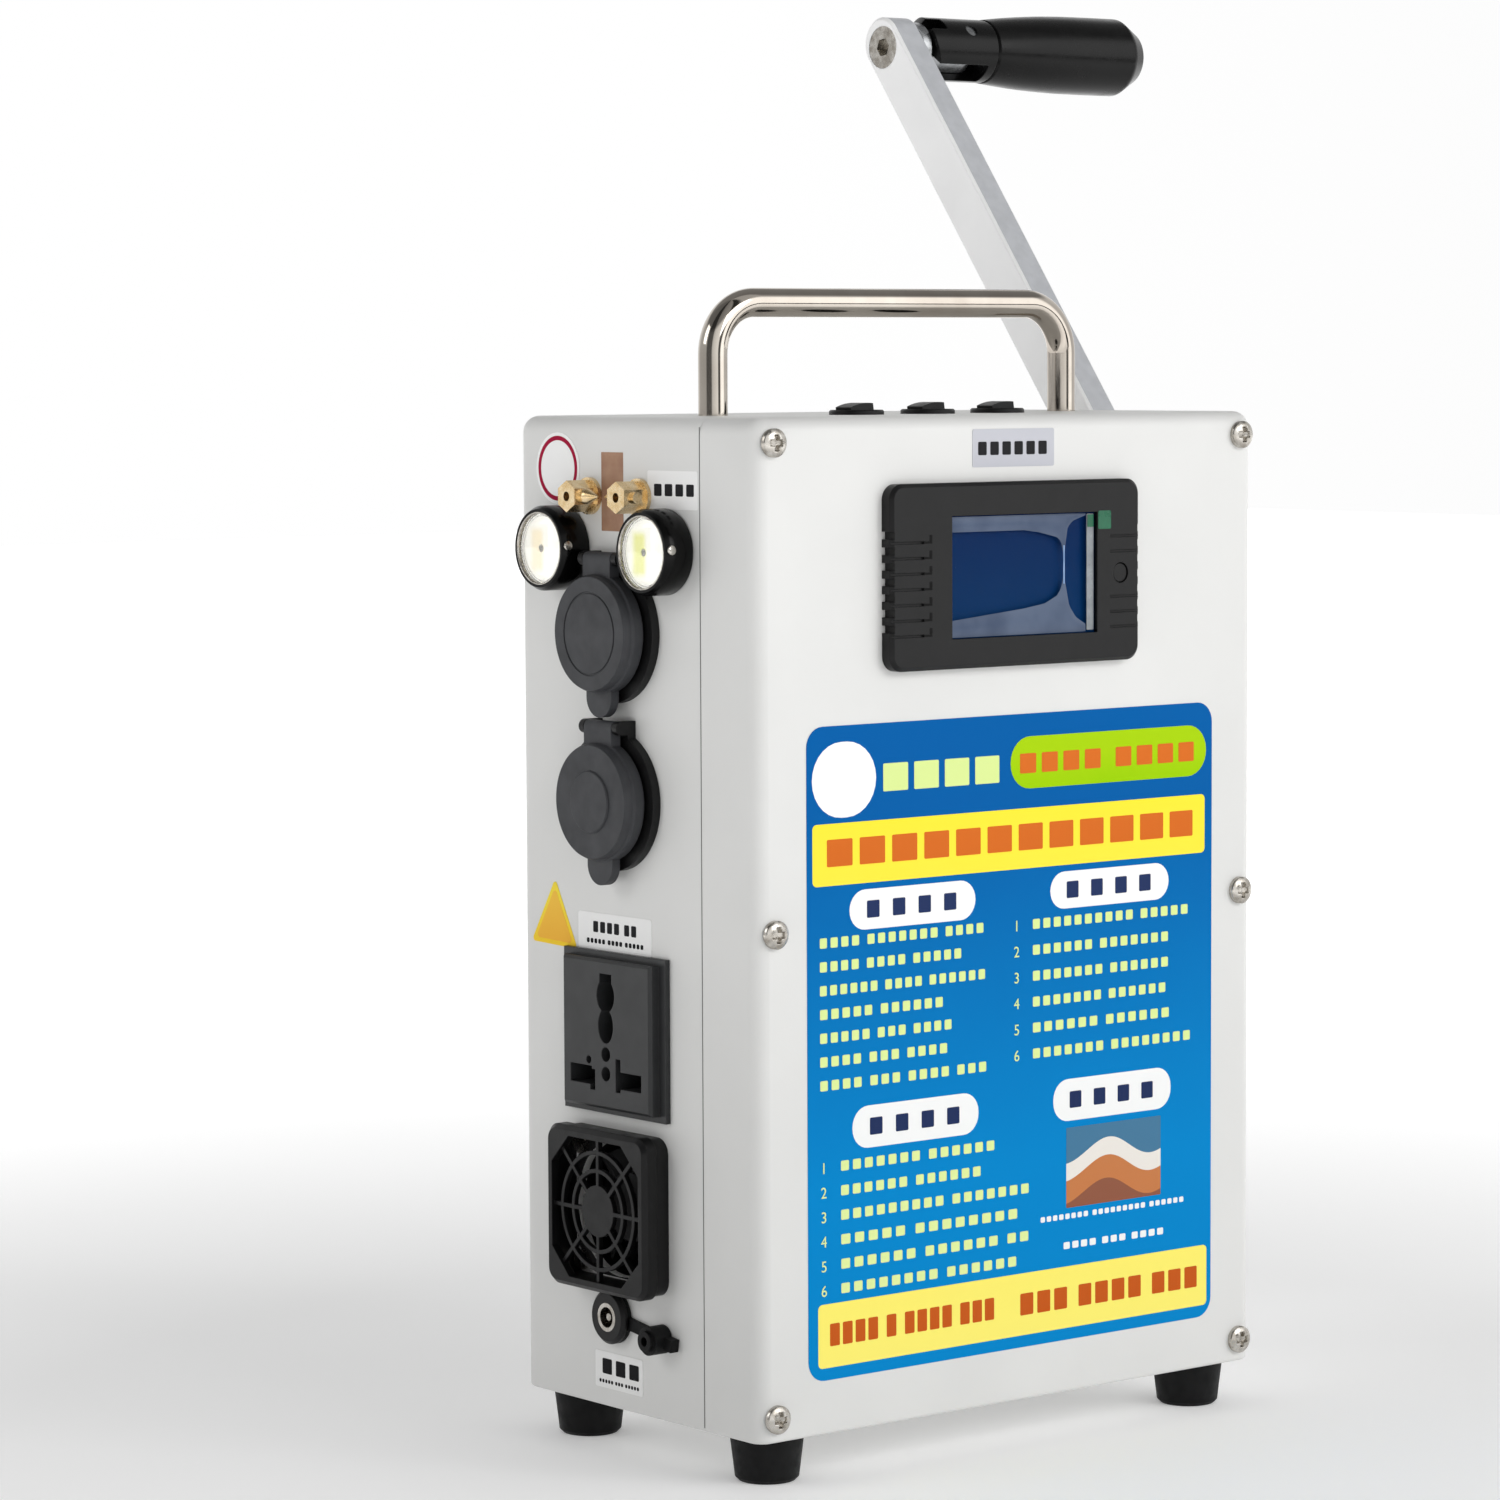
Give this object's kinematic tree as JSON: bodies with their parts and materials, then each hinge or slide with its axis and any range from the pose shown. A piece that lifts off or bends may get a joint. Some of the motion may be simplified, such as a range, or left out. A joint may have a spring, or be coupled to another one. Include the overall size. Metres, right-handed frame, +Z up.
{
  "type": "hand crank generator",
  "caption": "Upright hand crank generator case with meter, lamps, spark posts, capped sockets, mains outlet, fan, carry handle and a folding crank grip.",
  "frame": {"origin": "centre of the case's flat underside, on the plane that the feet are screwed to", "axes": "+X to the right along the front face towards the crank, +Y to the rear, +Z up"},
  "size_m": [0.2991, 0.1863, 0.4038],
  "materials": {
    "case_plastic": "fine moulded satin",
    "black_plastic": "fine satin",
    "soft_black": "matt",
    "steel": "satin",
    "bright_steel": "polished",
    "arm_steel": "satin nickel",
    "brass": "turned",
    "clear": "clear",
    "lamp_chip": "resin",
    "board": "lacquered",
    "display": "glossy",
    "cell_wrap": "film",
    "holder_plastic": "plain",
    "gear_steel": "machined",
    "cast_metal": "cast",
    "winding": "enamelled"
  },
  "bodies": {
    "case": {"rear_shell": "case_plastic", "front_cover": "case_plastic", "case_screws": "bright_steel", "carry_handle": "bright_steel", "handle_screws": "steel", "fan_screws": "steel", "panel_nuts": "steel", "usb_ports": "steel", "lighter_sleeve": "steel", "dc_contact": "steel", "flange_screws": "steel", "feet": "soft_black", "lamp_bodies": "black_plastic", "meter_bezel": "black_plastic", "usb_socket": "black_plastic", "lighter_socket": "black_plastic", "lighter_base": "black_plastic", "ac_socket": "black_plastic", "fan_guard": "black_plastic", "fan_frame": "black_plastic", "dc_jack": "black_plastic", "switch_bodies": "black_plastic", "crank_flange": "black_plastic", "meter_window": "clear", "lamp_lenses": "clear", "meter_display": "display", "lamp_boards": "lamp_chip", "spark_posts": "brass", "spark_needles": "brass", "lighter_contact": "brass", "spark_module": "holder_plastic", "battery_holders": "holder_plastic", "ball_bearings": "gear_steel", "gearbox_frame": "cast_metal", "generator_can": "cast_metal", "heat_sinks": "cast_metal", "generator_stator": "winding", "battery_cells": "cell_wrap", "inverter_board": "board", "charge_board": "board"},
    "crank": {"crank_shaft": "gear_steel", "crank_arm": "arm_steel", "hub_screw": "bright_steel", "grip_bracket": "steel", "grip_screw": "bright_steel", "drive_gear": "gear_steel"},
    "grip_fork_body": {"grip_fork": "black_plastic", "grip_pin": "steel", "grip_spindle": "steel"},
    "grip": {"grip_sleeve": "black_plastic"},
    "idler": {"idler_gear": "gear_steel"},
    "rotor": {"generator_rotor": "gear_steel"},
    "usb_lid": {"usb_cap": "black_plastic"},
    "lighter_lid": {"lighter_cap": "black_plastic"},
    "dust_cap": {"dc_dust_cap": "soft_black"},
    "rocker_left_body": {"rocker_left": "black_plastic"},
    "rocker_middle_body": {"rocker_middle": "black_plastic"},
    "rocker_right_body": {"rocker_right": "black_plastic"},
    "key": {"meter_key": "black_plastic"},
    "fan": {"fan_rotor": "black_plastic"}
  },
  "joints": [
    {"name": "crank_spin", "type": "hinge", "parent": "case", "child": "crank", "pos_m": [0.092, 0, 0.224], "axis": [1, 0, 0], "continuous": true},
    {"name": "grip_fold", "type": "hinge", "parent": "crank", "child": "grip_fork_body", "pos_m": [0.1275, 0.11817, 0.37912], "axis": [0, 0.7955, -0.606], "range_deg": [0, 90]},
    {"name": "grip_spin", "type": "hinge", "parent": "grip_fork_body", "child": "grip", "pos_m": [0.16, 0.11817, 0.37912], "axis": [1, 0, 0], "continuous": true},
    {"name": "idler_spin", "type": "hinge", "parent": "case", "child": "idler", "pos_m": [0.07, 0, 0.1865], "axis": [1, 0, 0], "continuous": true},
    {"name": "rotor_spin", "type": "hinge", "parent": "case", "child": "rotor", "pos_m": [0.03, 0, 0.149], "axis": [1, 0, 0], "continuous": true},
    {"name": "usb_cap_hinge", "type": "hinge", "parent": "case", "child": "usb_lid", "pos_m": [-0.0947, 0.0076, 0.2312], "axis": [0, 1, 0], "range_deg": [0, 120]},
    {"name": "lighter_cap_hinge", "type": "hinge", "parent": "case", "child": "lighter_lid", "pos_m": [-0.0947, 0.0076, 0.1861], "axis": [0, 1, 0], "range_deg": [0, 105]},
    {"name": "dust_cap_swing", "type": "hinge", "parent": "case", "child": "dust_cap", "pos_m": [-0.0907, 0.0099, 0.0256], "axis": [1, 0, 0], "range_deg": [-12, 150]},
    {"name": "fan_spin", "type": "hinge", "parent": "case", "child": "fan", "pos_m": [-0.094, 0.0076, 0.0554], "axis": [1, 0, 0], "continuous": true},
    {"name": "key_press", "type": "slide", "parent": "case", "child": "key", "axis": [0, 1, 0], "range_m": [0, 0.0006], "stiffness_N_per_m": 800},
    {"name": "rocker_left_tilt", "type": "hinge", "parent": "case", "child": "rocker_left_body", "pos_m": [-0.0255, -0.016, 0.266], "axis": [0, 1, 0], "range_deg": [0, 16]},
    {"name": "rocker_middle_tilt", "type": "hinge", "parent": "case", "child": "rocker_middle_body", "pos_m": [0, -0.016, 0.266], "axis": [0, 1, 0], "range_deg": [0, 16]},
    {"name": "rocker_right_tilt", "type": "hinge", "parent": "case", "child": "rocker_right_body", "pos_m": [0.0255, -0.016, 0.266], "axis": [0, 1, 0], "range_deg": [0, 16]}
  ],
  "couplings": [
    {"joint": "idler_spin", "follows": "crank_spin", "ratio": -4},
    {"joint": "rotor_spin", "follows": "crank_spin", "ratio": 16}
  ]
}
